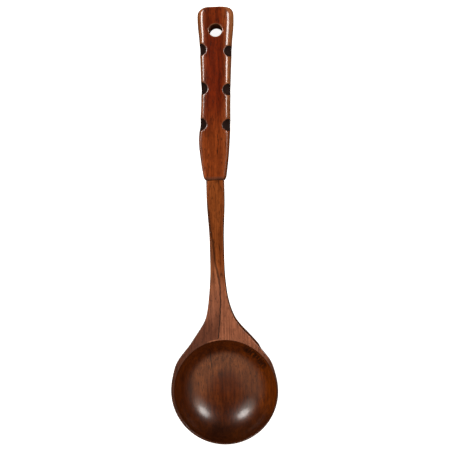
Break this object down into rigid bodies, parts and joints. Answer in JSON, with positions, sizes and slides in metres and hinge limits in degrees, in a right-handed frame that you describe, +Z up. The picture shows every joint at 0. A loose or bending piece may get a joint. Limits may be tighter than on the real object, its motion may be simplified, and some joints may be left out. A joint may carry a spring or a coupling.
{
  "type": "wooden ladle",
  "caption": "Wooden soup ladle: round bowl flowing into a slim shank, with a thicker grip that has a hang hole and finger notches.",
  "frame": {"origin": "centre of the bowl's flat foot, on the surface that the ladle lies on", "axes": "+Y along the ladle towards the end of the grip, +Z up out of the bowl, +X to the right"},
  "size_m": [0.08, 0.3298, 0.03],
  "materials": {
    "brown_lacquered_wood": "gloss lacquer",
    "red_brown_lacquered_wood": "gloss lacquer"
  },
  "bodies": {
    "root": {"bowl_and_shank": "brown_lacquered_wood", "handle_grip": "red_brown_lacquered_wood"}
  },
  "joints": []
}
